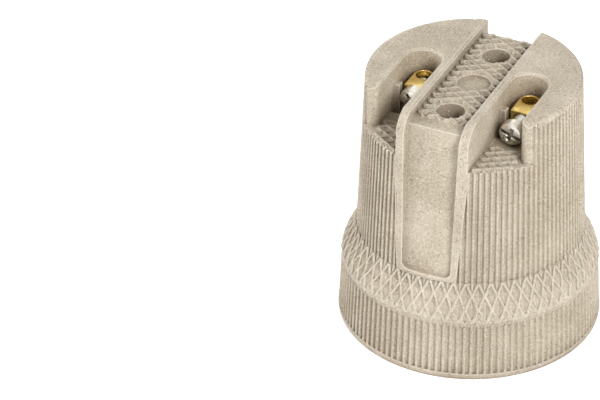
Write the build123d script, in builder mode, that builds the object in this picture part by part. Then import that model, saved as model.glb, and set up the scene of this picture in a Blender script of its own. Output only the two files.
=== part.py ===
from build123d import *
from math import cos, hypot, radians, sin, sqrt
import os

# Lamp holder of unglazed porcelain for an E27 screw lamp, standing on its mouth with the
# terminals on top. Millimetres. Origin on the axis in the plane of the mouth rim, +Z towards
# the terminals, the channel for the fixing screws along Y, both wire pockets open at -Y.

# Overall form of the porcelain
height = 46.5
rim_radius = 22.5
rim_band = 1.3
rim_rounding = 0.7
skirt_top = 11.5
skirt_top_radius = 21.95
shoulder_top = 17.6
neck_radius = 19.45
crown_radius = 18.0
crown_chamfer = 0.4

# Ribs round the outside and the diamond pattern over the shoulder
rib_count = 120
rib_depth = 0.42
rib_inset = 0.06
knurl_rows = 3
knurl_depth = 0.5

# Channel across the back, its walls and the drafted panels below its two ends
channel_half = 4.85
channel_depth = 2.0
channel_rounding = 0.35
fin_outer = 6.35
fin_border = 0.3
panel_border = 1.0
panel_top_y = 15.7
panel_base_y = 18.3
panel_base_half = 4.35
panel_base = 18.2
panel_corner = 1.2

# Fixing holes and the round recess between them
fixing_spacing = 19.0
fixing_radius = 2.4
recess_radius = 2.8
recess_depth = 0.8

# Wire pockets and the rounded front of the blocks beside them
pocket_radius = 3.18
pocket_back_y = 0.57
pocket_depth = 7.9
pocket_rim = 0.3
pocket_mouth_y = -24.0
well_depth = 9.5
well_front_y = -5.3
guide_front_y = -3.6
guide_length = 1.2
guide_clearance = 0.3
front_slope_back = 5.0
front_slope_radius = 18.6
front_slope_reach = 4.6
front_slope_drop = 4.4
block_corner = 1.1
block_border = 1.9

# Mouth, screw shell seat and the chambers behind it
collar_radius = 19.05
collar_depth = 9.2
collar_rounding = 0.8
collar_rib_count = 72
collar_rib_height = 0.2
seat_radius = 14.3
seat_length = 5.6
seat_chamfer = 0.8
guide_ring_radius = 13.9
guide_ring_length = 3.1
throat_radius = 13.7
throat_length = 3.0
chamber_radius = 13.1
floor_thickness = 3.0
web_half = 3.9
web_height = 3.0
wall_ridge_half = 0.7
wall_ridge_height = 0.8
wall_ridge_length = 6.0
lug_count = 4
lug_inner_radius = 15.7
lug_half_angle = 9.5
lug_height = 1.2

# Rolled screw shell
sheet = 0.3
flange_radius = 17.3
flange_inner_radius = 14.9
thread_major = 13.32
thread_minor = 12.3
thread_pitch = 3.62
thread_turns = 1.15
thread_start = 1.55
thread_base_half = 0.95
thread_crest_half = 0.4
lip_radius = 14.15
notch_clearance_angle = 1.2

# Terminal blocks, their hollow shanks and the clamp screws
terminal_y = 1.2
terminal_half = 1.95
terminal_length = 3.7
terminal_height = 6.0
terminal_bevel = 0.3
wire_radius = 1.35
shank_radius = 1.65
shank_clearance = 0.05
flare_radius = 2.1
flare_height = 0.5
screw_radius = 1.3
screw_clearance = 0.05
screw_length = 4.3
screw_drop = 2.0
head_radius = 2.05
head_thickness = 1.9
head_dome = 0.35
slot_width = 0.6
slot_depth = 0.7
open_gap = 2.9
closed_gap = 0.02

# Contact strips
strip = 0.5
foot_half = 2.8
tongue_radius = 2.7
tongue_lift = 4.3
tongue_bend_x = 3.4
neck_bend_x = 6.2
neck_y = 0.6
strip_bend = 0.8
neck_half = 0.9
tongue_hole = 1.1
tongue_eyelet = 0.3
side_leg_half = 2.0
side_leg_gap = 0.1
tip_gap = 0.05

# Levels and places that follow from the sizes above
ledge_z = collar_depth
seat_end = ledge_z + seat_length
guide_ring_end = seat_end + guide_ring_length
chamber_start = guide_ring_end + throat_length
pocket_floor = height - pocket_depth
well_floor = height - well_depth
chamber_floor = well_floor - floor_thickness
web_z = chamber_floor - web_height
channel_floor = height - channel_depth
pocket_x = fin_outer + pocket_radius
pocket_outer = pocket_x + pocket_radius
terminal_top = well_floor + terminal_height
terminal_front_y = terminal_y - terminal_length
screw_z = terminal_top - screw_drop
leg_x = thread_major + sheet + side_leg_gap
over = 2.0


def polar(radius, angle):
    return (radius * cos(radians(angle)), radius * sin(radians(angle)))


def ribbed_outline(crest):
    quarter = 90 / rib_count
    for i in range(rib_count):
        for middle, radius in ((4 * i, crest), (4 * i + 2, crest - rib_depth)):
            ThreePointArc(
                polar(crest - rib_depth / 2, (middle - 1) * quarter),
                polar(radius, middle * quarter),
                polar(crest - rib_depth / 2, (middle + 1) * quarter),
            )


def ribbed_section(z, crest):
    with BuildSketch(Plane.XY.offset(z)) as section:
        with BuildLine():
            ribbed_outline(crest)
        make_face()
    return section.sketch.face()


def shoulder_radius(u):
    return skirt_top_radius + (neck_radius - skirt_top_radius) * u * u * (3 - 2 * u)


def knurl_point(i, row, depth=0.0):
    u = row / knurl_rows
    low = 0 < row < knurl_rows and (i + row) % 2 == 1
    radius = shoulder_radius(u) - (knurl_depth if low else depth)
    x, y = polar(radius, i * 360 / rib_count)
    return Vector(x, y, skirt_top + (shoulder_top - skirt_top) * u)


# Hollow diamonds between crossing ridges; the valleys between the upper ribs run out in them
def knurl_facets():
    facets = []
    for row in range(knurl_rows):
        for i in range(rib_count):
            a, b = knurl_point(i, row), knurl_point(i + 1, row)
            c, d = knurl_point(i, row + 1), knurl_point(i + 1, row + 1)
            rising = (i + row) % 2 == 0
            foot, ridge_end = (a, d) if rising else (b, c)
            corners = [(a, b, ridge_end)]
            if row < knurl_rows - 1:
                corners.append((foot, d, c))
            else:
                valley = knurl_point(i + 0.5, knurl_rows, rib_depth)
                corners += [(foot, d, valley), (foot, valley, c)]
            facets += [Face(Wire.make_polygon(three, close=True)) for three in corners]
    base = [knurl_point(i, 0) for i in range(rib_count)]
    crown = []
    for i in range(rib_count):
        crown += [knurl_point(i, knurl_rows), knurl_point(i + 0.5, knurl_rows, rib_depth)]
    return facets + [Face(Wire.make_polygon(ring, close=True)) for ring in (base, crown)]


def crest_cone(proud):
    with BuildPart() as cone:
        with BuildSketch(Plane.XY.offset(shoulder_top)):
            Circle(neck_radius - rib_inset + proud)
        with BuildSketch(Plane.XY.offset(height - crown_chamfer)):
            Circle(crown_radius + proud)
        with BuildSketch(Plane.XY.offset(height)):
            Circle(crown_radius - crown_chamfer + proud)
        loft(ruled=True)
    return cone.part


# Smooth strips that border the panels and the outer corners of the pockets
with BuildPart() as smooth_strips:
    with BuildSketch(Plane.XZ.offset(-2 * rim_radius)):
        with BuildLine():
            base_half = panel_base_half + panel_border
            top_half = fin_outer + fin_border
            Polyline(
                (-base_half, shoulder_top),
                (base_half, shoulder_top),
                (top_half, pocket_floor),
                (top_half, height),
                (-top_half, height),
                (-top_half, pocket_floor),
                close=True,
            )
        make_face()
    extrude(amount=4 * rim_radius)
    with BuildSketch(Plane.XY.offset(pocket_floor)):
        border_x = pocket_outer + block_border / 2
        with Locations((border_x, -crown_radius), (-border_x, -crown_radius)):
            Rectangle(block_border, crown_radius)
    extrude(amount=pocket_depth)
    add(crest_cone(rib_inset / 2), mode=Mode.INTERSECT)

# Everything that is cut from the outside: channel, panels, pockets, wells and holes
with BuildPart() as outer_cuts:
    with BuildSketch(Plane.XZ.offset(-3 * rim_radius)):
        with BuildLine():
            flare = channel_half + channel_rounding
            Polyline(
                (-flare, height),
                (-flare, height + over),
                (flare, height + over),
                (flare, height),
            )
            RadiusArc((flare, height), (channel_half, height - channel_rounding), channel_rounding)
            Polyline(
                (channel_half, height - channel_rounding),
                (channel_half, channel_floor),
                (-channel_half, channel_floor),
                (-channel_half, height - channel_rounding),
            )
            RadiusArc((-channel_half, height - channel_rounding), (-flare, height), channel_rounding)
        make_face()
    extrude(amount=6 * rim_radius)
    rise = channel_floor - panel_base
    lean = panel_base_y - panel_top_y
    slope = hypot(rise, lean)
    for side in (-1, 1):
        outward = (0, side * rise / slope, lean / slope)
        base = (0, side * panel_base_y, panel_base)
        with BuildSketch(Plane(origin=base, x_dir=(-side, 0, 0), z_dir=outward)):
            with BuildLine():
                grow = (channel_half - panel_base_half) / slope
                top_half = channel_half + grow * over
                FilletPolyline(
                    (-top_half, slope + over),
                    (-panel_base_half, 0),
                    (panel_base_half, 0),
                    (top_half, slope + over),
                    radius=panel_corner,
                )
                Line((top_half, slope + over), (-top_half, slope + over))
            make_face()
        extrude(amount=rim_radius)
    for side in (-1, 1):
        for floor, front in ((pocket_floor, pocket_mouth_y), (well_floor, well_front_y)):
            with BuildSketch(Plane.XY.offset(floor)):
                with Locations((side * pocket_x, pocket_back_y)):
                    Circle(pocket_radius)
                with Locations((side * pocket_x, (pocket_back_y + front) / 2)):
                    Rectangle(2 * pocket_radius, pocket_back_y - front)
            extrude(amount=height + over - floor)
    with BuildSketch(Plane.XY.offset(height - pocket_rim)):
        for side in (-1, 1):
            with Locations((side * pocket_x, pocket_back_y)):
                Circle(pocket_radius)
            with Locations((side * pocket_x, (pocket_back_y + pocket_mouth_y) / 2)):
                Rectangle(2 * pocket_radius, pocket_back_y - pocket_mouth_y)
    extrude(amount=pocket_rim, taper=-45)
    # The outer wall of each pocket is rounded off into the skin at its front end
    with BuildSketch(Plane.XY.offset(pocket_floor)):
        corner_x = pocket_outer + block_corner
        corner_y = -sqrt((crown_radius - block_corner) ** 2 - corner_x**2)
        reach = rim_radius / hypot(corner_x, corner_y)
        for side in (-1, 1):
            with BuildLine():
                Polyline(
                    (side * pocket_outer, corner_y),
                    (side * corner_x, corner_y),
                    (side * corner_x * reach, corner_y * reach),
                    (side * pocket_outer, pocket_mouth_y),
                    close=True,
                )
            make_face()
            with Locations((side * corner_x, corner_y)):
                Circle(block_corner, mode=Mode.SUBTRACT)
    extrude(amount=height + over - pocket_floor)
    with BuildSketch(Plane.XY.offset(web_z - over)):
        with Locations((0, -fixing_spacing / 2), (0, fixing_spacing / 2)):
            Circle(fixing_radius)
    extrude(amount=height + over - web_z)
    with BuildSketch(Plane.XY.offset(channel_floor - recess_depth)):
        Circle(recess_radius)
    extrude(amount=recess_depth + over)
    with BuildSketch(Plane.XY.offset(chamber_floor - over)):
        with Locations((-pocket_x, terminal_y), (pocket_x, terminal_y)):
            Circle(shank_radius + shank_clearance)
    extrude(amount=floor_thickness + 2 * over)

# Guides that keep each block straight are left standing in the wells
with BuildPart() as guides:
    gap = terminal_half + guide_clearance
    with BuildSketch(Plane.XY.offset(well_floor)):
        for side in (-1, 1):
            for edge in (-1, 1):
                middle_x = side * pocket_x + edge * (gap + pocket_radius) / 2
                with Locations((middle_x, guide_front_y + guide_length / 2)):
                    Rectangle(pocket_radius - gap, guide_length)
    extrude(amount=terminal_top - well_floor)

# The front of both blocks and of the channel walls slopes down in a large curve
with BuildPart() as front_cut:
    with BuildSketch(Plane.XZ.offset(-front_slope_back)):
        with BuildLine():
            EllipticalCenterArc(
                (front_slope_radius, height - front_slope_drop),
                front_slope_reach,
                front_slope_drop,
                start_angle=0,
                arc_size=90,
            )
            Polyline(
                (front_slope_radius, height),
                (front_slope_radius, height + over),
                (2 * rim_radius, height + over),
                (2 * rim_radius, height - front_slope_drop),
                (front_slope_radius + front_slope_reach, height - front_slope_drop),
            )
        make_face()
    revolve(axis=Axis((0, front_slope_back, 0), (0, 0, 1)))

# Mouth and chambers, cut from below
with BuildPart() as inner_cuts:
    with BuildSketch(Plane.XZ):
        with BuildLine():
            Polyline(
                (0, -over),
                (collar_radius + collar_rounding, -over),
                (collar_radius + collar_rounding, 0),
            )
            RadiusArc(
                (collar_radius + collar_rounding, 0),
                (collar_radius, collar_rounding),
                -collar_rounding,
            )
            Polyline(
                (collar_radius, collar_rounding),
                (collar_radius, ledge_z),
                (seat_radius + seat_chamfer, ledge_z),
                (seat_radius, ledge_z + seat_chamfer),
                (seat_radius, seat_end),
                (guide_ring_radius, seat_end),
                (guide_ring_radius, guide_ring_end),
                (throat_radius, guide_ring_end),
                (throat_radius, chamber_start),
                (chamber_radius, chamber_start),
                (chamber_radius, chamber_floor),
                (0, chamber_floor),
                (0, -over),
            )
        make_face()
    revolve(axis=Axis.Z)
    with BuildSketch(Plane.XY.offset(web_z)):
        Rectangle(2 * web_half, 2 * chamber_radius)
    extrude(amount=web_height, mode=Mode.SUBTRACT)
    with BuildSketch(Plane.XY.offset(web_z - wall_ridge_length)):
        for side in (-1, 1):
            with Locations((0, side * (chamber_radius - wall_ridge_height / 2))):
                Rectangle(2 * wall_ridge_half, wall_ridge_height)
    extrude(amount=wall_ridge_length, mode=Mode.SUBTRACT)
    slot_x = leg_x + strip + side_leg_gap
    with BuildSketch(Plane.XY.offset(seat_end)):
        with Locations((-(slot_x + pocket_x) / 2, terminal_y)):
            Rectangle(slot_x - pocket_x, 2 * (side_leg_half + side_leg_gap))
    extrude(amount=chamber_floor - seat_end)

with BuildPart() as collar_details:
    with BuildSketch(Plane.XY.offset(collar_rounding)):
        for i in range(collar_rib_count):
            middle = i * 360 / collar_rib_count
            foot = 90 / collar_rib_count
            with BuildLine():
                Polyline(
                    polar(collar_radius + rib_inset, middle - foot),
                    polar(collar_radius - collar_rib_height, middle),
                    polar(collar_radius + rib_inset, middle + foot),
                    close=True,
                )
            make_face()
    extrude(amount=ledge_z - collar_rounding)
    with BuildSketch(Plane.XY.offset(ledge_z - lug_height)):
        for i in range(lug_count):
            middle = i * 360 / lug_count
            with BuildLine():
                CenterArc((0, 0), lug_inner_radius, middle - lug_half_angle, 2 * lug_half_angle)
                CenterArc((0, 0), collar_radius + rib_inset, middle - lug_half_angle, 2 * lug_half_angle)
                for end in (middle - lug_half_angle, middle + lug_half_angle):
                    Line(polar(lug_inner_radius, end), polar(collar_radius + rib_inset, end))
            make_face()
    extrude(amount=lug_height + rib_inset)

with BuildPart() as ceramic_body:
    with BuildSketch(Plane.XZ):
        with BuildLine():
            Polyline((0, 0), (rim_radius - rim_rounding, 0))
            RadiusArc((rim_radius - rim_rounding, 0), (rim_radius, rim_rounding), -rim_rounding)
            Polyline((rim_radius, rim_rounding), (rim_radius, rim_band), (0, rim_band), (0, 0))
        make_face()
    revolve(axis=Axis.Z, clean=False)
    loft(
        [
            ribbed_section(rim_band, rim_radius - rib_inset),
            ribbed_section(skirt_top, skirt_top_radius - rib_inset),
        ],
        ruled=True,
        clean=False,
    )
    add(Solid(Shell(knurl_facets())), clean=False)
    loft(
        [
            ribbed_section(shoulder_top, neck_radius - rib_inset),
            ribbed_section(height - crown_chamfer, crown_radius),
            ribbed_section(height, crown_radius - crown_chamfer),
        ],
        ruled=True,
        clean=False,
    )
    add(smooth_strips.part, clean=False)
    add(outer_cuts.part - guides.part, mode=Mode.SUBTRACT, clean=False)
    add(front_cut.part, mode=Mode.SUBTRACT, clean=False)
    add(inner_cuts.part, mode=Mode.SUBTRACT, clean=False)
    add(collar_details.part, clean=False)
ceramic_body.part.label = "ceramic_body"

# Screw shell: flange on the ledge, curved throat, rolled thread and a flared end lip
with BuildPart() as thread_shell:
    throat_bend = flange_inner_radius - thread_major
    face_z = ledge_z - sheet
    tube_z = face_z + throat_bend
    with BuildSketch(Plane.XZ):
        with BuildLine():
            Polyline(
                (flange_inner_radius, face_z),
                (flange_radius, face_z),
                (flange_radius, ledge_z),
                (flange_inner_radius, ledge_z),
            )
            RadiusArc((flange_inner_radius, ledge_z), (thread_major + sheet, tube_z), throat_bend - sheet)
            Polyline(
                (thread_major + sheet, tube_z),
                (thread_major + sheet, seat_end - sheet),
                (lip_radius, seat_end - sheet),
                (lip_radius, seat_end),
                (thread_major, seat_end),
                (thread_major, tube_z),
            )
            RadiusArc((thread_major, tube_z), (flange_inner_radius, face_z), -throat_bend)
        make_face()
    revolve(axis=Axis.Z)


def thread_bead(outer, outer_half, inner, inner_half):
    start = (thread_major, 0, ledge_z + thread_start)
    with BuildPart() as bead:
        with BuildLine() as path:
            Helix(thread_pitch, thread_pitch * thread_turns, thread_major, center=(0, 0, start[2]))
        with BuildSketch(Plane(origin=start, x_dir=(1, 0, 0), z_dir=path.line % 0)):
            with BuildLine():
                Polyline(
                    (outer, -outer_half),
                    (inner, -inner_half),
                    (inner, inner_half),
                    (outer, outer_half),
                    close=True,
                )
            make_face()
        sweep(is_frenet=True)
        with BuildSketch(Plane.XY.offset(tube_z - sheet)):
            Circle(seat_radius)
        extrude(amount=seat_end - tube_z + sheet, mode=Mode.INTERSECT)
    return bead.part


flank = (thread_base_half - thread_crest_half) / (thread_major - thread_minor)
wall_shift = sheet * hypot(1, flank)
groove_inner = thread_minor + sheet - thread_major
groove_outer = sheet + rib_inset
ridge = thread_bead(sheet / 2, thread_base_half, thread_minor - thread_major, thread_crest_half)
groove = thread_bead(
    groove_outer,
    thread_base_half + flank * groove_outer - wall_shift,
    groove_inner,
    thread_crest_half + flank * sheet - wall_shift,
)
with thread_shell:
    add(ridge)
    add(groove, mode=Mode.SUBTRACT)
    with BuildSketch(Plane.XY.offset(ledge_z - lug_height)):
        for i in range(lug_count):
            middle = i * 360 / lug_count
            half = lug_half_angle + notch_clearance_angle
            reach = lug_inner_radius - side_leg_gap
            with BuildLine():
                CenterArc((0, 0), reach, middle - half, 2 * half)
                CenterArc((0, 0), collar_radius, middle - half, 2 * half)
                for edge in (-half, half):
                    Line(polar(reach, middle + edge), polar(collar_radius, middle + edge))
            make_face()
    extrude(amount=2 * lug_height, mode=Mode.SUBTRACT)
thread_shell.part.label = "thread_shell"


# Brass block with a vertical wire bore, whose hollow shank is flared over the contact strip
def terminal_block(x):
    with BuildPart() as block:
        with BuildSketch(Plane.XY.offset(well_floor)):
            with Locations((x, terminal_y)):
                Circle(terminal_half)
            with Locations((x, (terminal_y + terminal_front_y) / 2)):
                Rectangle(2 * terminal_half, terminal_length)
        extrude(amount=terminal_height)
        chamfer(block.faces().sort_by(Axis.Z)[-1].edges(), terminal_bevel)
        flare_z = chamber_floor - strip - flare_height
        with BuildSketch(Plane.XY.offset(flare_z)):
            with Locations((x, terminal_y)):
                Circle(shank_radius)
        extrude(amount=well_floor - flare_z)
        with BuildSketch(Plane.XY.offset(flare_z)):
            with Locations((x, terminal_y)):
                Circle(flare_radius)
        extrude(amount=flare_height)
        with BuildSketch(Plane.XY.offset(flare_z)):
            with Locations((x, terminal_y)):
                Circle(wire_radius)
        extrude(amount=height, mode=Mode.SUBTRACT)
        wide = flare_radius - (shank_radius - wire_radius)
        with BuildSketch(Plane.XY.offset(flare_z)):
            with Locations((x, terminal_y)):
                Circle(wide)
        with BuildSketch(Plane.XY.offset(flare_z + flare_height)):
            with Locations((x, terminal_y)):
                Circle(wire_radius)
        loft(mode=Mode.SUBTRACT)
        with BuildSketch(Plane(origin=(x, terminal_front_y, screw_z), x_dir=(1, 0, 0), z_dir=(0, 1, 0))):
            Circle(screw_radius + screw_clearance)
        extrude(amount=terminal_y - terminal_front_y, mode=Mode.SUBTRACT)
    return block.part


# Clamp screw along Y, its head towards the front; gap is the space left under the head
def clamp_screw(x, gap):
    seat_y = terminal_front_y - gap
    with BuildPart() as screw:
        with BuildSketch(Plane(origin=(x, seat_y, screw_z), x_dir=(1, 0, 0), z_dir=(0, 1, 0))):
            Circle(screw_radius)
        extrude(amount=screw_length)
        chamfer(screw.faces().sort_by(Axis.Y)[-1].edges(), head_dome)
        with BuildSketch(Plane(origin=(x, seat_y, screw_z), x_dir=(1, 0, 0), z_dir=(0, -1, 0))):
            Circle(head_radius)
        extrude(amount=head_thickness)
        chamfer(screw.faces().sort_by(Axis.Y)[0].edges(), head_dome)
        face_y = seat_y - head_thickness
        with BuildSketch(Plane(origin=(x, face_y, screw_z), x_dir=(1, 0, 0), z_dir=(0, 1, 0))):
            Rectangle(slot_width, 3 * head_radius)
            Rectangle(2 * head_radius - 4 * head_dome, slot_width)
        extrude(amount=slot_depth, mode=Mode.SUBTRACT)
    return screw.part


terminal_block_left = terminal_block(-pocket_x)
terminal_block_left.label = "terminal_block_left"
terminal_block_right = terminal_block(pocket_x)
terminal_block_right.label = "terminal_block_right"
clamp_screw_left = clamp_screw(-pocket_x, closed_gap)
clamp_screw_left.label = "clamp_screw_left"
clamp_screw_right = clamp_screw(pocket_x, open_gap)
clamp_screw_right.label = "clamp_screw_right"

# Centre contact: foot under the right shank, bent neck and a round tongue on the axis
foot_z = chamber_floor - strip / 2
tongue_z = foot_z - tongue_lift
with BuildPart() as centre_contact:
    with BuildSketch(Plane.XZ.offset(-rim_radius)):
        with BuildLine():
            FilletPolyline(
                (pocket_x + foot_half, foot_z),
                (neck_bend_x, foot_z),
                (tongue_bend_x, tongue_z),
                (-tongue_radius, tongue_z),
                radius=strip_bend,
            )
        trace(line_width=strip)
    extrude(amount=2 * rim_radius)
    with BuildSketch(Plane.XY.offset(web_z - over - tongue_lift)):
        with Locations((pocket_x, terminal_y)):
            Rectangle(2 * foot_half, 2 * foot_half)
        with Locations((pocket_x / 2, neck_y)):
            Rectangle(pocket_x, 2 * neck_half)
        Circle(tongue_radius)
        with Locations((tongue_radius / 2, 0)):
            Rectangle(tongue_radius, 2 * tongue_radius)
    extrude(amount=height, mode=Mode.INTERSECT)
    with BuildSketch(Plane.XY.offset(tongue_z - strip / 2 - tongue_eyelet)):
        Circle(tongue_hole + strip)
    extrude(amount=tongue_eyelet)
    with BuildSketch(Plane.XY.offset(tongue_z - tongue_radius)):
        Circle(tongue_hole)
    extrude(amount=2 * tongue_radius, mode=Mode.SUBTRACT)
    with BuildSketch(Plane.XY.offset(foot_z - strip)):
        with Locations((pocket_x, terminal_y)):
            Circle(shank_radius + shank_clearance)
    extrude(amount=2 * strip, mode=Mode.SUBTRACT)
centre_contact.part.label = "centre_contact"

# Side contact: foot under the left shank and a leg down to the end lip of the screw shell
with BuildPart() as side_contact:
    leg_mid = leg_x + strip / 2
    foot_end = pocket_x + foot_half
    with BuildSketch(Plane.XY.offset(chamber_floor - strip)):
        with Locations((-pocket_x, terminal_y)):
            Rectangle(2 * foot_half, 2 * foot_half)
            Circle(shank_radius + shank_clearance, mode=Mode.SUBTRACT)
    extrude(amount=strip)
    with BuildSketch(Plane.XZ.offset(-terminal_y - side_leg_half)):
        with BuildLine():
            FilletPolyline(
                (-foot_end, foot_z),
                (-leg_mid, foot_z),
                (-leg_mid, seat_end + tip_gap),
                radius=strip_bend,
            )
        trace(line_width=strip)
    extrude(amount=2 * side_leg_half)
side_contact.part.label = "side_contact"

os.makedirs("parts", exist_ok=True)
export_step(ceramic_body.part, "parts/ceramic_body.step")
export_step(thread_shell.part, "parts/thread_shell.step")
export_step(centre_contact.part, "parts/centre_contact.step")
export_step(side_contact.part, "parts/side_contact.step")
for piece in (terminal_block_left, terminal_block_right, clamp_screw_left, clamp_screw_right):
    export_step(piece, f"parts/{piece.label}.step")
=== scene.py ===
import math

import bmesh
import bpy
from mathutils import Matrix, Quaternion, Vector


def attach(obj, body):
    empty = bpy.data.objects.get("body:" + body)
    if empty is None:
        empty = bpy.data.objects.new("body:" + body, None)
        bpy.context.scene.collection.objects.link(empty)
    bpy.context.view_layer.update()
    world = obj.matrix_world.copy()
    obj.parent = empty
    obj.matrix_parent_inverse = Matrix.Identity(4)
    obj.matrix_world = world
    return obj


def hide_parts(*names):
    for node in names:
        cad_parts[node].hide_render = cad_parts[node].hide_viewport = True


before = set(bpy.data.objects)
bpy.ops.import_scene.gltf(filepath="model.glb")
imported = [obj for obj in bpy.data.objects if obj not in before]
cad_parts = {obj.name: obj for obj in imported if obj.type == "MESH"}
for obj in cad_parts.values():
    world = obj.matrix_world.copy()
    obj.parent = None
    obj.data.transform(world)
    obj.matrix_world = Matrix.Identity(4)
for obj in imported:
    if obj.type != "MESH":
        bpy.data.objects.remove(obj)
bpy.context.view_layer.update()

# Camera. The holder stands on its mouth and is seen from the front right and above,
# through a long lens. The camera aims past its left side, which puts it at the right of
# the frame.
VIEW_AZIMUTH = 22.5
VIEW_ELEVATION = 33.5
VIEW_DISTANCE = 0.5168
VIEW_HEIGHT = 0.0239
AIM_RIGHT = -0.0289
AIM_UP = -0.00285
VIEW_ROLL = 0.782
LENS = 183.5
CLIP_NEAR = 0.01
CLIP_FAR = 20


def direction(azimuth, elevation):
    """The way from the holder to a place, by its angles. Azimuth 0 is the front."""
    turn, rise = math.radians(azimuth), math.radians(elevation)
    level = math.cos(rise)
    return Vector((math.sin(turn) * level, -math.cos(turn) * level, math.sin(rise)))


middle = Vector((0, 0, VIEW_HEIGHT))
towards_camera = direction(VIEW_AZIMUTH, VIEW_ELEVATION)
rightwards = Vector((0, 0, 1)).cross(towards_camera).normalized()
upwards = towards_camera.cross(rightwards)
aim = middle + rightwards * AIM_RIGHT + upwards * AIM_UP
camera = bpy.data.objects.new("camera", bpy.data.cameras.new("camera"))
bpy.context.scene.collection.objects.link(camera)
camera.location = middle + towards_camera * VIEW_DISTANCE
camera.rotation_mode = "QUATERNION"
camera.rotation_quaternion = (
    (aim - camera.location).to_track_quat("-Z", "Y")
    @ Quaternion((0, 0, 1), math.radians(-VIEW_ROLL))
)
camera.data.lens = LENS
camera.data.clip_start = CLIP_NEAR
camera.data.clip_end = CLIP_FAR
bpy.context.scene.camera = camera
bpy.context.scene.view_settings.view_transform = "Standard"

# Porcelain body. One piece of unglazed porcelain, pressed in a die and fired. Its skin
# is dry and sandy, with dark mineral grains and pits, and the press has rounded every
# edge.
MM = 0.001


class Signal:
    """An output of a node tree. Arithmetic on it adds the tree's Math nodes."""

    def __init__(self, tree, socket=None):
        self.tree = tree
        self.socket = socket

    def make(self, kind, settings=None, values=None, out=0):
        """Adds a node: its settings, then the values or signals of its inputs."""
        node = self.tree.nodes.new(kind)
        for name, value in (settings or {}).items():
            setattr(node, name, value)
        for name, value in (values or {}).items():
            for item in value if isinstance(value, list) else [value]:
                if isinstance(item, Signal):
                    self.tree.links.new(item.socket, node.inputs[name])
                else:
                    node.inputs[name].default_value = item
        return Signal(self.tree, node.outputs[out])

    def output(self, name):
        """Another output of the node that gives this signal."""
        return Signal(self.tree, self.socket.node.outputs[name])

    def maths(self, operation, *others):
        """A Math node that takes this signal first."""
        terms = dict(enumerate((self, *others)))
        return self.make("ShaderNodeMath", {"operation": operation}, terms)

    def __add__(self, other):
        return self.maths("ADD", other)

    __radd__ = __add__

    def __sub__(self, other):
        return self.maths("SUBTRACT", other)

    def __rsub__(self, other):
        return self.make(
            "ShaderNodeMath", {"operation": "SUBTRACT"}, {0: other, 1: self}
        )

    def __mul__(self, other):
        return self.maths("MULTIPLY", other)

    __rmul__ = __mul__

    def __truediv__(self, other):
        return self.maths("DIVIDE", other)

    def ramp(self, low, high, start=0.0, end=1.0, curve="SMOOTHSTEP"):
        """Goes from start to end while the signal goes from low to high."""
        return self.make(
            "ShaderNodeMapRange", {"interpolation_type": curve},
            {0: self, 1: low, 2: high, 3: start, 4: end},
        )

    def share(self, low, high):
        """The part of the way from low to high, from 0 to 1 and straight."""
        return self.ramp(low, high, curve="LINEAR")

    def blend(self, below, above):
        """A colour between two colours, by this signal."""
        return self.make(
            "ShaderNodeMix", {"data_type": "RGBA"}, {0: self, 6: below, 7: above}, out=2
        )


def srgb(red, green, blue):
    """A colour written as 0 to 255 sRGB numbers, as the linear colour of a socket."""
    def linear(part):
        part /= 255
        return part / 12.92 if part <= 0.04045 else ((part + 0.055) / 1.055) ** 2.4
    return (linear(red), linear(green), linear(blue), 1.0)


def new_finish(name):
    """An empty material with its shader, and Object coordinates in millimetres."""
    finish = bpy.data.materials.new(name)
    finish.use_nodes = True
    shader = finish.node_tree.nodes["Principled BSDF"]
    place = Signal(finish.node_tree).make("ShaderNodeTexCoord", out="Object")
    place = place.make(
        "ShaderNodeVectorMath", {"operation": "SCALE"}, {0: place, "Scale": 1 / MM}
    )
    return finish, shader, place


def connect(shader, values):
    """Sets or links the inputs of a shader."""
    for name, value in values.items():
        if isinstance(value, Signal):
            value.tree.links.new(value.socket, shader.inputs[name])
        else:
            shader.inputs[name].default_value = value


EDGE_SAMPLES = 6
EDGE_ALIKE = (0.995, 0.90)
HOLLOW_SAMPLES = 4


def rounded_edge(place, radius):
    """The rounded normal of an edge, and how far it leaves the flat one, up to 1."""
    rounded = place.make(
        "ShaderNodeBevel", {"samples": EDGE_SAMPLES}, {"Radius": radius}
    )
    flat = place.make("ShaderNodeNewGeometry", out="Normal")
    alike = place.make(
        "ShaderNodeVectorMath", {"operation": "DOT_PRODUCT"}, {0: rounded, 1: flat},
        out="Value",
    )
    return rounded, alike.ramp(*EDGE_ALIKE)


def hollow(place, reach):
    """How much of what surrounds a spot is closed in, from 0 to 1, within a reach."""
    return 1.0 - place.make(
        "ShaderNodeAmbientOcclusion", {"samples": HOLLOW_SAMPLES}, {"Distance": reach},
        out="AO",
    )


CLAY = srgb(214, 204, 186)
CLAY_DARK = srgb(166, 153, 133)
# Pale clay, used for the real grit and for the painted highlight on crests and edges.
CLAY_PALE = srgb(250, 243, 228)
# The colour of the painted shade in hollows and pockets.
CLAY_SHADE = srgb(128, 110, 88)
GRAIN_BROWN = srgb(104, 84, 64)
PRESSED_EDGE = 0.0004
# Painted shade in narrow hollows, such as the valleys between ribs.
VALLEY_REACH = 0.0007
VALLEY_RANGE = (0.22, 0.6)
VALLEY_SHADE = 0.38
# Painted highlight on crests and edges, fading out towards hollows.
CREST_RANGE = (0.12, 0.5)
CREST_HIGHLIGHT = 0.6
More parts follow.
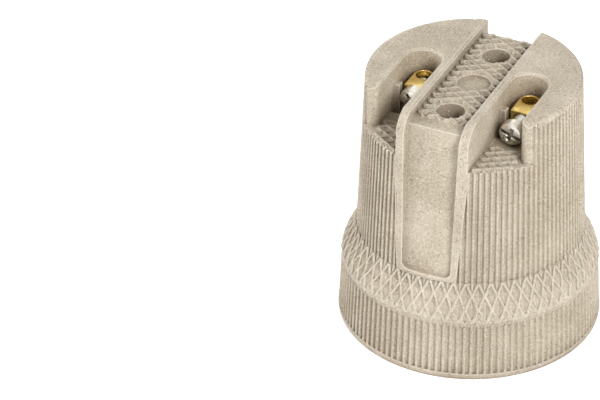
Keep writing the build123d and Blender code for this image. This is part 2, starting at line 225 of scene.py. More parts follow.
# Painted shade in wider recesses, such as the wire pockets.
POCKET_REACH = 0.006
POCKET_RANGE = (0.25, 0.8)
POCKET_SHADE = 0.75
GRIT_PALE = 0.42
FLECK_DARK = 0.7
SPECK_DARK = 0.85
GRAIN_SOFT = 0.05
CLOUD_RANGE = (0.34, 0.68)
CLOUD_SHARE = 0.35
SAND_RANGE = (0.30, 0.72)
SAND_SHARE = 0.65
SAND_RELIEF = 0.7
FINE_RELIEF = 0.35
GRIT_RELIEF = 0.25
FLECK_PIT = 0.6
SPECK_PIT = 0.45
RELIEF_STRENGTH = 0.9
RELIEF_HEIGHT = 0.00013
RUBBED_RANGE = (0.3, 0.7)
DRY_ROUGHNESS = 0.92
RUBBED_ROUGHNESS = 0.76
CLAY_SPECULAR = 0.3


def porcelain_finish():
    finish, shader, place = new_finish("porcelain")

    def noise(scale, detail, roughness):
        return place.make("ShaderNodeTexNoise", None, {
            "Vector": place, "Scale": scale, "Detail": detail, "Roughness": roughness,
        })

    def grains(scale, inner, outer, rare):
        """Round grains, in the cells whose random number is above rare."""
        cells = place.make(
            "ShaderNodeTexVoronoi", None,
            {"Vector": place, "Scale": scale, "Randomness": 1.0},
        )
        pick = place.make("ShaderNodeSeparateColor", None, {0: cells.output("Color")})
        return cells.ramp(inner, outer, 1.0, 0.0) * pick.ramp(rare, rare + GRAIN_SOFT)

    clouds = noise(scale=0.16, detail=3.0, roughness=0.5)
    sand = noise(scale=2.6, detail=5.0, roughness=0.72)
    fine = noise(scale=7.0, detail=3.0, roughness=0.6)
    fleck = grains(scale=1.9, inner=0.14, outer=0.28, rare=0.80)
    speck = grains(scale=3.4, inner=0.18, outer=0.32, rare=0.82)
    grit = grains(scale=2.7, inner=0.18, outer=0.42, rare=0.72)
    rounded, edge = rounded_edge(place, PRESSED_EDGE)

    tone = clouds.ramp(*CLOUD_RANGE) * CLOUD_SHARE + sand.ramp(*SAND_RANGE) * SAND_SHARE
    valley = hollow(place, VALLEY_REACH)
    pocket = hollow(place, POCKET_REACH)
    # Painted highlight: edges and crests, away from hollows, are lightened towards the
    # pale clay.
    crest_highlight = edge * valley.ramp(*CREST_RANGE, CREST_HIGHLIGHT, 0.0)
    colour = tone.blend(CLAY_DARK, CLAY)
    # Painted shade: narrow hollows, such as the valleys between ribs, are darkened
    # towards the shade colour.
    colour = valley.ramp(*VALLEY_RANGE, 0.0, VALLEY_SHADE).blend(colour, CLAY_SHADE)
    # Painted shade: wider recesses, such as the wire pockets, are darkened towards the
    # same shade colour.
    colour = pocket.ramp(*POCKET_RANGE, 0.0, POCKET_SHADE).blend(colour, CLAY_SHADE)
    colour = crest_highlight.blend(colour, CLAY_PALE)
    colour = (grit * GRIT_PALE).blend(colour, CLAY_PALE)
    colour = (fleck * FLECK_DARK).blend(colour, GRAIN_BROWN)
    colour = (speck * SPECK_DARK).blend(colour, GRAIN_BROWN)
    relief = (
        sand * SAND_RELIEF + fine * FINE_RELIEF + grit * GRIT_RELIEF
        - fleck * FLECK_PIT - speck * SPECK_PIT
    )
    bump = place.make("ShaderNodeBump", None, {
        "Strength": RELIEF_STRENGTH, "Distance": RELIEF_HEIGHT,
        "Height": relief, "Normal": rounded,
    })
    connect(shader, {
        "Base Color": colour,
        "Roughness": sand.ramp(*RUBBED_RANGE, DRY_ROUGHNESS, RUBBED_ROUGHNESS),
        "Normal": bump,
        "Specular IOR Level": CLAY_SPECULAR,
    })
    return finish


PORCELAIN = porcelain_finish()
body_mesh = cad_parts["ceramic_body"].data
body_mesh.materials.clear()
body_mesh.materials.append(PORCELAIN)

# Shoulder lattice. The die leaves sharp little ridges of clay on the shoulder, which
# cross each other two rib widths apart and enclose the porcelain's hollow diamonds.
# Below them the ribs of the skirt end in rounded tips.
LATTICE = {"Low": 11.5, "High": 17.6, "Wire Radius": 0.25, "Sunk": 0.07}
SHOULDER_RADII = (21.95, 21.302, 20.098, 19.45)
LATTICE_RIDGES = 60
LATTICE_SLANT = math.radians(9)
LATTICE_STEPS = 9
LATTICE_SIDES = 6
RIB_TIPS = 120
RIB_TIP = (0.36, 0.54, 1.15)
RIB_TIP_SUNK = 0.36
RIB_TIP_DROP = 0.15
RIB_TIP_SEGMENTS = 8
RIB_TIP_RINGS = 5
CREASE = 0.6
SLIVER = 0.0000002


def shape_tree(name, sizes):
    """A Geometry Nodes tree with a named input for each size, in mm or radians."""
    tree = bpy.data.node_groups.new(name, "GeometryNodeTree")
    tree.interface.new_socket(
        "Geometry", in_out="OUTPUT", socket_type="NodeSocketGeometry"
    )
    for size in sizes:
        tree.interface.new_socket(size, in_out="INPUT", socket_type="NodeSocketFloat")
    entry = tree.nodes.new("NodeGroupInput")
    return tree, Signal(tree), [Signal(tree, entry.outputs[size]) for size in sizes]


def point(start, x, y, z):
    """A place, or the three angles of a turn, from numbers or signals."""
    return start.make("ShaderNodeCombineXYZ", None, {0: x, 1: y, 2: z})


def round_axis(radius, angle, height):
    """A place at a radius and angle round the holder's axis."""
    return point(
        angle, radius * angle.maths("COSINE"), radius * angle.maths("SINE"), height
    )


def parts(place):
    """The x, y and z of a place."""
    x = place.make("ShaderNodeSeparateXYZ", None, {0: place})
    return x, x.output("Y"), x.output("Z")


def moved(shape, place):
    """Puts each point of a shape at its place."""
    return shape.make(
        "GeometryNodeSetPosition", None, {"Geometry": shape, "Position": place}
    )


def end_tree(shape, finish, crease=CREASE):
    """Ends a tree: metres, smooth faces with sharp creases, and its finish."""
    shape = shape.make(
        "GeometryNodeTransform", None, {"Geometry": shape, "Scale": (MM, MM, MM)}
    )
    shape = shape.make("GeometryNodeRealizeInstances", None, {0: shape})
    shape = shape.make("GeometryNodeSetShadeSmooth", {"domain": "FACE"}, {0: shape})
    angle = shape.make("GeometryNodeInputMeshEdgeAngle")
    shape = shape.make(
        "GeometryNodeSetShadeSmooth", {"domain": "EDGE"},
        {0: shape, 1: angle.maths("GREATER_THAN", crease), 2: False},
    )
    shape = shape.make(
        "GeometryNodeSetMaterial", None, {"Geometry": shape, "Material": finish}
    )
    leave = shape.tree.nodes.new("NodeGroupOutput")
    shape.tree.links.new(shape.socket, leave.inputs[0])


def grow(name, tree, sizes, wall=0.0):
    """Makes a tree's shape a plain mesh in an object of its own. Sheet gets a wall."""
    piece = bpy.data.objects.new(name, bpy.data.meshes.new(name))
    bpy.context.scene.collection.objects.link(piece)
    shape = piece.modifiers.new("shape", "NODES")
    shape.node_group = tree
    for item in tree.interface.items_tree:
        if item.in_out == "INPUT":
            shape[item.identifier] = float(sizes[item.name])
    if wall:
        solid = piece.modifiers.new("wall", "SOLIDIFY")
        solid.thickness = wall * MM
        solid.offset = -1.0
    made = piece.evaluated_get(bpy.context.evaluated_depsgraph_get())
    mesh = bpy.data.meshes.new_from_object(made)
    form = bmesh.new()
    form.from_mesh(mesh)
    # A cut leaves slivers, and faces with many sides.
    many_sided = [face for face in form.faces if len(face.verts) > 4]
    bmesh.ops.triangulate(form, faces=many_sided, ngon_method="EAR_CLIP")
    bmesh.ops.dissolve_degenerate(form, dist=SLIVER, edges=form.edges)
    form.to_mesh(mesh)
    form.free()
    piece.modifiers.clear()
    piece.data = mesh
    return piece


def lattice_tree():
    tree, start, (low, high, wire, sunk) = shape_tree("shoulder_lattice", LATTICE)
    line = start.make(
        "GeometryNodeCurvePrimitiveLine", None, {"Start": (0, 0, 0), "End": (1, 0, 0)}
    )
    line = start.make(
        "GeometryNodeResampleCurve", None, {"Curve": line, "Count": LATTICE_STEPS + 1}
    )
    along = parts(start.make("GeometryNodeInputPosition"))[0]
    radius = SHOULDER_RADII[0] - sunk
    steps = len(SHOULDER_RADII) - 1
    for step in range(steps):
        change = SHOULDER_RADII[step + 1] - SHOULDER_RADII[step]
        radius = radius + along.share(step / steps, (step + 1) / steps) * change
    height = low + (high - low) * along
    line = moved(line, round_axis(radius, along * LATTICE_SLANT, height))
    section = start.make(
        "GeometryNodeCurvePrimitiveCircle", None,
        {"Resolution": LATTICE_SIDES, "Radius": wire},
    )
    ridge = start.make("GeometryNodeCurveToMesh", None, {
        "Curve": line, "Profile Curve": section, "Fill Caps": True,
    })
    back = start.make(
        "GeometryNodeTransform", None, {"Geometry": ridge, "Scale": (1, -1, 1)}
    )
    back = start.make("GeometryNodeFlipFaces", None, {0: back})
    pair = start.make("GeometryNodeJoinGeometry", None, {0: [ridge, back]})
    tip = start.make("GeometryNodeMeshUVSphere", None, {
        "Segments": RIB_TIP_SEGMENTS, "Rings": RIB_TIP_RINGS,
    })
    tip = start.make("GeometryNodeTransform", None, {
        "Geometry": tip,
        "Scale": RIB_TIP,
        "Translation": point(
            start, SHOULDER_RADII[0] - RIB_TIP_SUNK, 0.0, low - RIB_TIP_DROP
        ),
    })

    def ring(shape, count, offset):
        """Copies of a shape all round the axis, turned by a part of their distance."""
        index = start.make("GeometryNodeInputIndex")
        return start.make("GeometryNodeInstanceOnPoints", None, {
            "Points": start.make("GeometryNodePoints", None, {"Count": count}),
            "Instance": shape,
            "Rotation": point(start, 0.0, 0.0, (index + offset) * (math.tau / count)),
        })

    whole = start.make("GeometryNodeJoinGeometry", None, {
        0: [ring(pair, LATTICE_RIDGES, 0.0), ring(tip, RIB_TIPS, 0.5)]
    })
    end_tree(whole, PORCELAIN)
    return tree


shoulder_lattice = grow("shoulder_lattice", lattice_tree(), LATTICE)
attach(shoulder_lattice, "holder")

# Crown lip. Above the ribs the die closes with a plain rounded lip of the same clay,
# along the edge of both blocks, so that the edge doesn't crumble. At the front it
# follows the slope down.
CROWN_TOP = 46.5
CROWN_RADIUS = 18.0
CROWN_FOOT = 46.1
BODY_TAPER = 0.0509
SLOPE_CENTRE = 5.0
SLOPE_RADIUS = 18.6
SLOPE_REACH = 4.6
SLOPE_DROP = 4.4
LIP_OUTLINE = (
    (-0.55, -1.45), (-0.42, -1.25), (-0.17, -0.92), (-0.06, -0.64), (-0.02, -0.42),
    (-0.05, -0.28), (-0.14, -0.15), (-0.30, -0.04), (-0.60, -0.004), (-0.9, -0.03),
    (-1.0, -0.4), (-0.55, -1.45),
)
LIP_HEART = (-0.75, -0.7)
LIP_FIRST = -33.8
LIP_LAST = 68.3
LIP_ROWS = 44
LIP_COLUMNS = 170
LIP_TAPER = 0.03
LIP_CREASE = 1.2
SEAM = 0.004


def unrolled(start, rows, columns):
    """A sheet of faces, with its shares along and round, from 0 to 1."""
    sheet = start.make("GeometryNodeMeshGrid", None, {
        "Size X": 1.0, "Size Y": 1.0, "Vertices X": rows + 1, "Vertices Y": columns + 1,
    })
    x, y, _ = parts(start.make("GeometryNodeInputPosition"))
    return sheet, x + 0.5, y + 0.5


def closed(shape):
    """Merges the seam and the poles of a sheet that was rolled up."""
    return shape.make(
        "GeometryNodeMergeByDistance", None, {"Geometry": shape, "Distance": SEAM}
    )


def lip_tree():
    tree, start, (first, last) = shape_tree("crown_lip", ("First Angle", "Last Angle"))
    sheet, along, turn = unrolled(start, LIP_ROWS, LIP_COLUMNS)
    sheet = start.make("GeometryNodeFlipFaces", None, {0: sheet})
    full = turn.ramp(0.0, LIP_TAPER) * turn.ramp(1.0, 1.0 - LIP_TAPER)
    angle = first + (last - first) * turn
    sine = angle.maths("SINE")

    def outline(column):
        """One coordinate of the outline. At the lip's ends it shrinks to its heart."""
        place = LIP_OUTLINE[0][column]
        steps = len(LIP_OUTLINE) - 1
        for step in range(steps):
            change = LIP_OUTLINE[step + 1][column] - LIP_OUTLINE[step][column]
            place = along.share(step / steps, (step + 1) / steps) * change + place
        return (place - LIP_HEART[column]) * full + LIP_HEART[column]

    def block_top(radius):
        """The height of the blocks' top at a radius, front slope included."""
        away = radius * radius - radius * 2.0 * SLOPE_CENTRE * sine + SLOPE_CENTRE ** 2
        past = ((away.maths("SQRT") - SLOPE_RADIUS) / SLOPE_REACH).maths("MAXIMUM", 0.0)
        return (1.0 - past * past).maths("SQRT") * SLOPE_DROP + (CROWN_TOP - SLOPE_DROP)

    out, up = outline(0), outline(1)
    below_foot = CROWN_FOOT - block_top(CROWN_RADIUS) - up
    radius = out + CROWN_RADIUS + below_foot * BODY_TAPER
    lip = moved(sheet, round_axis(radius, angle, block_top(radius) + up))
    end_tree(closed(lip), PORCELAIN, LIP_CREASE)
    return tree


CROWN_LIP = lip_tree()
LIP_ENDS = {"right": (LIP_FIRST, LIP_LAST), "left": (180 - LIP_LAST, 180 - LIP_FIRST)}
for side, (first, last) in LIP_ENDS.items():
    lip = grow(f"crown_lip_{side}", CROWN_LIP, {
        "First Angle": math.radians(first), "Last Angle": math.radians(last),
    })
    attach(lip, "holder")

# Knurled floors. The floors of the channel and of both wire pockets carry ridges of
# clay in flat diamonds, so that a strap or a wire doesn't slide. They are pressed with
# the body.
POCKET_X = 9.53
CHANNEL_KNURL = {
    "Middle X": 0.0, "Half Width": 4.7, "Front Y": -13.2, "Back Y": 15.4,
    "Floor": 44.5, "Reach": 18.0,
    "Hole Y": 9.5, "Hole Radius": 2.4, "Recess Radius": 2.8,
    "Diamond Width": 3.0, "Diamond Length": 1.9, "Ridge Height": 0.7,
}
# A pocket's floor has no hole, so its Hole Y lies off the floor.
POCKET_KNURL = {
    "Half Width": 3.1, "Front Y": -17.6, "Back Y": -7.95,
    "Floor": 38.6, "Reach": 18.15,
    "Hole Y": 30.0, "Hole Radius": 0.0, "Recess Radius": 0.0,
    "Diamond Width": 2.8, "Diamond Length": 1.8, "Ridge Height": 0.5,
}
KNURL_CELL = 0.11
KNURL_ROOT = 0.06
KNURL_PLATE = 0.04
RIDGE_SHARE = 0.35
WAVER_SCALE = 0.55
WAVER_SHARE = 0.22
CRUMBLE_SCALE = 2.2
CRUMBLE_SHARE = 0.4
KNURL_DETAIL = 2.0
HOLE_MARGIN = 0.1
HOLE_FADE = (HOLE_MARGIN, 0.45)
RIM_FADE = (0.0, 0.3)
WALL_FADE = (0.02, 0.3)
KNURL_CREASE = 1.4
PLATE_SEAM = 0.002


def slab(sheet, way, thickness):
    """A closed slab between a sheet and its copy, which lies where its faces point."""
    top = sheet.make("GeometryNodeExtrudeMesh", None, {
        "Mesh": sheet, "Offset": way, "Offset Scale": thickness, "Individual": False,
    })
    under = sheet.make("GeometryNodeFlipFaces", None, {0: sheet})
    both = sheet.make("GeometryNodeJoinGeometry", None, {0: [top, under]})
    return sheet.make(
        "GeometryNodeMergeByDistance", None, {"Geometry": both, "Distance": PLATE_SEAM}
    )


def floor_tree():
    tree, start, (
        middle_x, half, front, back, floor_z, reach, hole_y, hole, recess,
        wide, long, ridge_height,
    ) = shape_tree("floor_knurl", CHANNEL_KNURL)
    sheet = start.make("GeometryNodeMeshGrid", None, {
        "Size X": half * 2,
        "Size Y": back - front,
        "Vertices X": (half * 2 / KNURL_CELL).maths("ROUND"),
        "Vertices Y": ((back - front) / KNURL_CELL).maths("ROUND"),
    })
    sheet = start.make("GeometryNodeTransform", None, {
        "Geometry": sheet,
        "Translation": point(
            start, middle_x, (back + front) * 0.5, floor_z - (KNURL_ROOT + KNURL_PLATE)
        ),
    })
    position = start.make("GeometryNodeInputPosition")
    x, y, z = parts(position)
    across = x - middle_x

    def unevenness(scale):
        return start.make("ShaderNodeTexNoise", None, {
            "Vector": position, "Scale": scale, "Detail": KNURL_DETAIL,
        }) - 0.5

    waver, crumble = unevenness(WAVER_SCALE), unevenness(CRUMBLE_SCALE)

    def ridge(sign):
        """How high a point is on the ridges that slant one way, from 0 to 1."""
        phase = across / wide + (y / long) * sign + waver * WAVER_SHARE
        off_valley = (phase.maths("FRACT") - 0.5).maths("ABSOLUTE")
        return off_valley.share(0.5 - RIDGE_SHARE * 0.5, 0.5)

    def away_from(centre_y, radius):
        """How far a point lies outside a circle on the holder's middle plane."""
        gap = y - centre_y
        return (x * x + gap * gap).maths("SQRT") - radius

    rim = reach - away_from(0.0, 0.0)
    holes = away_from(hole_y, hole).maths("MINIMUM", away_from(hole_y * -1.0, hole))
    holes = holes.maths("MINIMUM", away_from(0.0, recess))
    inside = rim.ramp(*RIM_FADE) * holes.ramp(*HOLE_FADE)
    for wall_gap in (half - across.maths("ABSOLUTE"), y - front, back - y):
        inside = inside * wall_gap.ramp(*WALL_FADE)
    tall = ridge(1.0).maths("MAXIMUM", ridge(-1.0)) * (crumble * CRUMBLE_SHARE + 1.0)
    rise = tall * inside * (ridge_height + KNURL_ROOT)
    kept = rim.maths("MINIMUM", holes - HOLE_MARGIN)
    sheet = start.make("GeometryNodeDeleteGeometry", {"domain": "FACE"}, {
        "Geometry": sheet, "Selection": kept.maths("LESS_THAN", 0.0),
    })
    plate = slab(sheet, (0.0, 0.0, 1.0), KNURL_PLATE)
    upper = z.maths("GREATER_THAN", floor_z - (KNURL_ROOT + KNURL_PLATE * 0.5))
    plate = moved(plate, point(start, x, y, z + rise * upper))
    end_tree(plate, PORCELAIN, KNURL_CREASE)
    return tree


FLOOR_KNURL = floor_tree()
KNURLS = {
    "channel_knurl": CHANNEL_KNURL,
    "pocket_knurl_left": {**POCKET_KNURL, "Middle X": -POCKET_X},
    "pocket_knurl_right": {**POCKET_KNURL, "Middle X": POCKET_X},
}
for name, knurl_sizes in KNURLS.items():
    knurl = grow(name, FLOOR_KNURL, knurl_sizes)
    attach(knurl, "holder")

# Screw shell. Thin sheet drawn to a cup without a bottom, its thread rolled in
# afterwards, then nickel plated. It hangs in the porcelain by its flange, which is
# notched round four lugs.
SHELL = {
    "Flange Face": 8.9, "Flange Radius": 17.3, "Notch Radius": 15.6,
    "Flange Inner": 14.9, "Throat Bend": 1.58,
    "Thread Start": 10.48, "Thread End": 14.5, "Thread Depth": 1.02, "Pitch": 3.62,
}
SHEET = 0.3
LUGS = 4
NOTCH_HALF = 10.7
NOTCH_SOFT = 0.7
THREAD_BEFORE = 0.3
THREAD_RISE = 1.2
THREAD_FALL = 0.7
MOUTH_FLARE = 0.8
MOUTH_RISE = 0.28
SHELL_ROWS = 110
SHELL_COLUMNS = 200
# The parts of the sheet, from the flange's edge to the shell's end, as shares of it.
FLANGE_PART = (0.0, 0.16)
THROAT_PART = (0.16, 0.34)
THREAD_PART = (0.34, 0.93)
FLARE_PART = (0.93, 0.97)
MOUTH_PART = (0.95, 1.0)
NICKEL_TINT = srgb(214, 207, 196)
NICKEL_STAIN = srgb(176, 158, 134)
NICKEL_HOLLOW = srgb(92, 78, 60)
STREAK_DETAIL = 3.0
STAIN_SCALE = 0.5
STAIN_DETAIL = 4.0
STAIN_RANGE = (0.42, 0.66)
STAIN_ROUGHER = 0.15
HOLLOW_REACH = 0.0011
HOLLOW_RANGE = (0.35, 0.8)
HOLLOW_ROUGHER = 0.3
BRUSHED_RANGE = (0.3, 0.7)
BRUSHED_SMOOTHER = 0.05
BRUSHED_ROUGHER = 0.08
BRUSHED_STRENGTH = 0.25
BRUSHED_HEIGHT = 0.00002


def metal_finish(name, bright, dull, hollow_colour, roughness, streaks, wear):
    """Plated or bare metal: streaks from its making, stains, and hollows darkened
    towards a colour of their own.
    """
    finish, shader, place = new_finish(name)
    stretched = place.make(
        "ShaderNodeVectorMath", {"operation": "MULTIPLY"}, {0: place, 1: streaks}
    )
    brushed = place.make("ShaderNodeTexNoise", None, {
        "Vector": stretched, "Scale": 1.0, "Detail": STREAK_DETAIL,
    })
    stain = place.make("ShaderNodeTexNoise", None, {
        "Vector": place, "Scale": STAIN_SCALE, "Detail": STAIN_DETAIL,
    })
    mask = stain.ramp(*STAIN_RANGE) * wear
    # Hollows within a short reach are darkened towards the colour given for them; on
    # zinc that is painted shade, nearly black, in the slot and cross.
    hollow_darkening = hollow(place, HOLLOW_REACH).ramp(*HOLLOW_RANGE)
    bump = place.make("ShaderNodeBump", None, {
        "Strength": BRUSHED_STRENGTH, "Distance": BRUSHED_HEIGHT, "Height": brushed,
    })
    brushed_roughness = brushed.ramp(
        *BRUSHED_RANGE, roughness - BRUSHED_SMOOTHER, roughness + BRUSHED_ROUGHER
    )
    connect(shader, {
        "Base Color": hollow_darkening.blend(mask.blend(bright, dull), hollow_colour),
        "Metallic": 1.0,
        "Roughness": brushed_roughness + mask * STAIN_ROUGHER + hollow_darkening * HOLLOW_ROUGHER,
        "Normal": bump,
    })
    return finish


def shell_tree():
    tree, start, (
        face, outer, notch, inner, bend, begin, end, depth, pitch
    ) = shape_tree("rolled_shell", SHELL)
    sheet, along, turn = unrolled(start, SHELL_ROWS, SHELL_COLUMNS)
    lug_turn = (turn * LUGS + 0.5).maths("FRACT") - 0.5
    off_lug = lug_turn.maths("ABSOLUTE") * (360 / LUGS)
    notched = off_lug.ramp(NOTCH_HALF - NOTCH_SOFT, NOTCH_HALF + NOTCH_SOFT)
    edge = notch + (outer - notch) * notched
    curl = along.share(*THROAT_PART) * (math.pi / 2)
    height = (
        face + bend * (1.0 - curl.maths("COSINE"))
        + (end - begin) * along.share(*THREAD_PART)
        + along.share(*MOUTH_PART) * MOUTH_RISE
    )
    wave = ((height - begin) / pitch - turn) * math.tau
    rolled = (wave.maths("COSINE") + 1.0) * 0.5
    rolled = rolled * height.ramp(begin - THREAD_BEFORE, begin + THREAD_RISE)
    rolled = rolled * height.ramp(end, end - THREAD_FALL)
    radius = (
        edge + (inner - edge) * along.share(*FLANGE_PART)
        - bend * curl.maths("SINE") - depth * rolled
        + along.share(*FLARE_PART) * MOUTH_FLARE
    )
    shell = moved(sheet, round_axis(radius, turn * math.tau, height))
    end_tree(closed(shell), NICKEL)
    return tree


NICKEL = metal_finish(
    "nickel", NICKEL_TINT, NICKEL_STAIN, NICKEL_HOLLOW,
    roughness=0.22, streaks=(1.5, 1.5, 14.0), wear=0.5,
)
rolled_shell = grow("rolled_shell", shell_tree(), SHELL, wall=SHEET)
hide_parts("thread_shell")
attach(rolled_shell, "holder")

# Terminal blocks. Two brass blocks, sawn and drilled from bar, with the wire bore down
# through a hollow shank that is flared over the contact strip under the floor.
BLOCK_EDGE = 0.12
BRASS_TINT = srgb(248, 222, 142)
BRASS_STAIN = srgb(198, 156, 80)
BRASS_HOLLOW = srgb(96, 54, 18)
SAME_POINT = 0.000002
FLAT_ANGLE = math.radians(1.5)
BROKEN_ANGLE = math.radians(35)
BROKEN_SEGMENTS = 3


def eased(node, name, finish, width):
    """Replaces a CAD node by a copy whose edges are broken, in its own finish."""
    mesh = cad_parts[node].data.copy()
    mesh.materials.clear()
    mesh.materials.append(finish)
    piece = bpy.data.objects.new(name, mesh)
    bpy.context.scene.collection.objects.link(piece)
    form = bmesh.new()
    form.from_mesh(mesh)
    bmesh.ops.remove_doubles(form, verts=form.verts, dist=SAME_POINT)
    bmesh.ops.dissolve_limit(
        form, angle_limit=FLAT_ANGLE, verts=form.verts, edges=form.edges
    )
    form.to_mesh(mesh)
    form.free()
    for polygon in mesh.polygons:
        polygon.use_smooth = True
        polygon.material_index = 0
    bevel = piece.modifiers.new("broken edge", "BEVEL")
    bevel.width = width * MM
    bevel.segments = BROKEN_SEGMENTS
    bevel.limit_method = "ANGLE"
    bevel.angle_limit = BROKEN_ANGLE
    bevel.harden_normals = True
    made = piece.evaluated_get(bpy.context.evaluated_depsgraph_get())
    mesh = bpy.data.meshes.new_from_object(made)
    piece.modifiers.clear()
    piece.data = mesh
    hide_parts(node)
    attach(piece, "holder")


BRASS = metal_finish(
    "brass", BRASS_TINT, BRASS_STAIN, BRASS_HOLLOW,
    roughness=0.24, streaks=(9.0, 2.0, 2.0), wear=0.5,
)
for side in ("left", "right"):
    eased(f"terminal_block_{side}", f"brass_block_{side}", BRASS, BLOCK_EDGE)

# Clamp screws. Zinc plated steel, turned and thread rolled, with a combined cross and
# slot in a low domed head. The left one is driven home, the right one is backed out.
SCREW_HEIGHT = 41.0
BLOCK_FRONT = -2.5
SCREWS = {
    "left": {
        "Across": -POCKET_X, "Head Seat": 0.02,
        "Height": SCREW_HEIGHT, "Turn": math.radians(-35),
    },
    "right": {
        "Across": POCKET_X, "Head Seat": 2.9,
        "Height": SCREW_HEIGHT, "Turn": math.radians(20),
    },
}
HEAD_RADIUS = 2.05
HEAD_THICK = 1.9
HEAD_ROUND = 0.55
FACE_RADIUS = 1.5
FACE_DOME = 0.12
SHAFT_RADIUS = 1.3
SHAFT_LENGTH = 4.3
FINE_PITCH = 0.5
FINE_DEPTH = 0.26
FINE_START = (0.05, 0.3)
TIP_RADIUS = 0.9
SLOT_WIDE = 0.72
SLOT_DEEP = 1.1
SLOT_REACH = 1.5 * HEAD_RADIUS
CROSS_REACH = 1.33
CUT_ABOVE = 0.2
INNER_LINE = 1.0
OUTER_LINE = 3.0
SCREW_ROWS = 150
SCREW_COLUMNS = 56
SCREW_CREASE = 0.5
# The parts of the screw's outline, from the middle of its face to its tip, as shares.
FACE_PART = (0.0, 0.08)
EDGE_PART = (0.08, 0.16)
SIDE_PART = (0.16, 0.20)
SEAT_PART = (0.20, 0.24)
SHAFT_PART = (0.24, 0.97)
NECK_PART = (0.24, 0.26)
TAPER_PART = (0.91, 0.97)
TIP_PART = (0.97, 1.0)
TIP_CLOSES = (1.0, 0.999)
ZINC_TINT = srgb(236, 233, 222)
ZINC_STAIN = srgb(158, 148, 128)
# Nearly black: painted shade in the slot and cross of the head.
ZINC_SLOT_SHADE = srgb(26, 24, 20)


def cross_cutter(start):
    """A cross-shaped slab, from a grid with two inner and two outer lines each way."""
    cross = start.make("GeometryNodeMeshGrid", None, {
        "Size X": 2 * OUTER_LINE, "Size Y": 2 * OUTER_LINE,
        "Vertices X": 4, "Vertices Y": 4,
    })
    x, z, _ = parts(start.make("GeometryNodeInputPosition"))
    corner = x.maths("ABSOLUTE").maths("MINIMUM", z.maths("ABSOLUTE"))
    cross = start.make("GeometryNodeDeleteGeometry", {"domain": "FACE"}, {
        "Geometry": cross, "Selection": corner.maths("GREATER_THAN", INNER_LINE),
    })

    def arm(line, reach):
        """Moves the inner lines to the slot's sides and the outer ones to its ends."""
        inner = line.share(-INNER_LINE, INNER_LINE) - 0.5
        outer = line.share(INNER_LINE, OUTER_LINE)
        outer = outer - line.share(-INNER_LINE, -OUTER_LINE)
        return inner * SLOT_WIDE + outer * (reach - SLOT_WIDE / 2)

    cross = moved(cross, point(
        start, arm(x, SLOT_REACH), -HEAD_THICK - CUT_ABOVE, arm(z, CROSS_REACH)
    ))
    cross = start.make("GeometryNodeFlipFaces", None, {0: cross})
    return slab(cross, (0.0, 1.0, 0.0), SLOT_DEEP)


def screw_tree():
    tree, start, (across, seat, level, twist) = shape_tree(
        "clamp_screw", SCREWS["left"]
    )
    sheet, along, turn = unrolled(start, SCREW_ROWS, SCREW_COLUMNS)
    dome = along.share(*FACE_PART)
    curl = along.share(*EDGE_PART) * (math.pi / 2)
    y = (
        dome * dome * FACE_DOME - HEAD_THICK + HEAD_ROUND * (1.0 - curl.maths("COSINE"))
        + along.share(*SIDE_PART) * (HEAD_THICK - HEAD_ROUND - FACE_DOME)
        + along.share(*SHAFT_PART) * SHAFT_LENGTH
    )
    wave = (y / FINE_PITCH - turn) * math.tau
    fine = (wave.maths("COSINE") + 1.0) * 0.5 * y.ramp(*FINE_START)
    radius = (
        dome * FACE_RADIUS + (HEAD_RADIUS - FACE_RADIUS) * curl.maths("SINE")
        - along.share(*SEAT_PART) * (HEAD_RADIUS - SHAFT_RADIUS)
        - fine * FINE_DEPTH * along.share(*NECK_PART)
        - along.share(*TAPER_PART) * (SHAFT_RADIUS - TIP_RADIUS)
        - along.share(*TIP_PART) * (TIP_RADIUS - FINE_DEPTH)
    )
    radius = radius.maths("MAXIMUM", 0.0) * along.share(*TIP_CLOSES)
    angle = turn * math.tau
    screw = closed(moved(sheet, point(
        start, radius * angle.maths("COSINE"), y, radius * angle.maths("SINE")
    )))
    screw = start.make(
        "GeometryNodeMeshBoolean", {"operation": "DIFFERENCE", "solver": "EXACT"},
        {"Mesh 1": screw, "Mesh 2": cross_cutter(start)},
    )
    screw = start.make("GeometryNodeTransform", None, {
        "Geometry": screw,
        "Translation": point(start, across, BLOCK_FRONT - seat, level),
        "Rotation": point(start, 0.0, twist, 0.0),
    })
    end_tree(screw, ZINC, SCREW_CREASE)
    return tree


ZINC = metal_finish(
    "zinc", ZINC_TINT, ZINC_STAIN, ZINC_SLOT_SHADE,
    roughness=0.28, streaks=(3.0, 12.0, 3.0), wear=0.4,
)
CLAMP_SCREW = screw_tree()
for side, screw_sizes in SCREWS.items():
    screw = grow(f"threaded_screw_{side}", CLAMP_SCREW, screw_sizes)
    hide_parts(f"clamp_screw_{side}")
    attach(screw, f"screw_{side}")

# Contact strips. Springy copper, punched and bent: a long tongue to the middle and a
# short strip to the shell. The flared shanks of the terminal blocks hold them under the
# floor.
STRIP_EDGE = 0.08
COPPER_TINT = srgb(214, 138, 96)
COPPER_STAIN = srgb(150, 84, 52)
COPPER_HOLLOW = srgb(84, 44, 26)
COPPER = metal_finish(
    "copper", COPPER_TINT, COPPER_STAIN, COPPER_HOLLOW,
    roughness=0.26, streaks=(2.0, 10.0, 2.0), wear=0.6,
)
for strip in ("centre", "side"):
    eased(f"{strip}_contact", f"{strip}_strip", COPPER, STRIP_EDGE)

# Floor and light. A pale table under soft lamps. Camera and mirror rays see it white,
# and it keeps a faint shadow round the mouth.
FLOOR_HALF = 1.5
FLOOR_GREY = (0.86, 0.86, 0.86, 1.0)
FLOOR_ROUGHNESS = 0.9
FLOOR_LIFT = 0.62
BLACK = (0.0, 0.0, 0.0, 1.0)
WHITE = (1.0, 1.0, 1.0, 1.0)
WORLD_LIGHT = 0.28


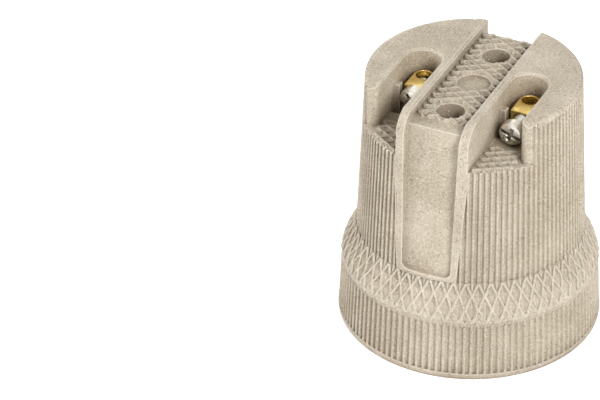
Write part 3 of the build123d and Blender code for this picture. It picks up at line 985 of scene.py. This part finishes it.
def seen_directly(signal):
    """1 for camera, mirror and transmitted rays."""
    path = signal.make("ShaderNodeLightPath", out="Is Camera Ray")
    mirrored, through = path.output("Is Glossy Ray"), path.output("Is Transmission Ray")
    return path.maths("MAXIMUM", mirrored.maths("MAXIMUM", through))


floor_mesh = bpy.data.meshes.new("floor")
floor_mesh.from_pydata([
    (-FLOOR_HALF, -FLOOR_HALF, 0), (FLOOR_HALF, -FLOOR_HALF, 0),
    (FLOOR_HALF, FLOOR_HALF, 0), (-FLOOR_HALF, FLOOR_HALF, 0),
], [], [(0, 1, 2, 3)])
floor = bpy.data.objects.new("floor", floor_mesh)
bpy.context.scene.collection.objects.link(floor)
floor_finish, floor_shader, floor_place = new_finish("floor")
connect(floor_shader, {
    "Base Color": FLOOR_GREY,
    "Roughness": FLOOR_ROUGHNESS,
    "Specular IOR Level": 0.0,
    "Emission Color": (seen_directly(floor_place) * FLOOR_LIFT).blend(BLACK, WHITE),
    "Emission Strength": 1.0,
})
floor_mesh.materials.append(floor_finish)

world = bpy.data.worlds.new("studio")
world.use_nodes = True
bpy.context.scene.world = world
connect(world.node_tree.nodes["Background"], {
    "Color": WHITE,
    "Strength": seen_directly(Signal(world.node_tree)).ramp(0.0, 1.0, WORLD_LIGHT, 1.0),
})


def softbox(name, azimuth, elevation, distance, size, power):
    """A square lamp that faces the holder, placed by direction as the camera is."""
    lamp = bpy.data.objects.new(name, bpy.data.lights.new(name, "AREA"))
    bpy.context.scene.collection.objects.link(lamp)
    away = direction(azimuth, elevation)
    lamp.location = middle + away * distance
    lamp.rotation_mode = "QUATERNION"
    lamp.rotation_quaternion = (-away).to_track_quat("-Z", "Y")
    lamp.data.size = size
    lamp.data.energy = power


softbox("key", azimuth=51, elevation=34, distance=0.6, size=0.20, power=3.15)
softbox("fill", azimuth=-66, elevation=26, distance=0.7, size=0.40, power=3.3)
softbox("top", azimuth=10, elevation=80, distance=0.6, size=0.30, power=0.15)
softbox("back", azimuth=205, elevation=16, distance=0.7, size=0.40, power=1.5)
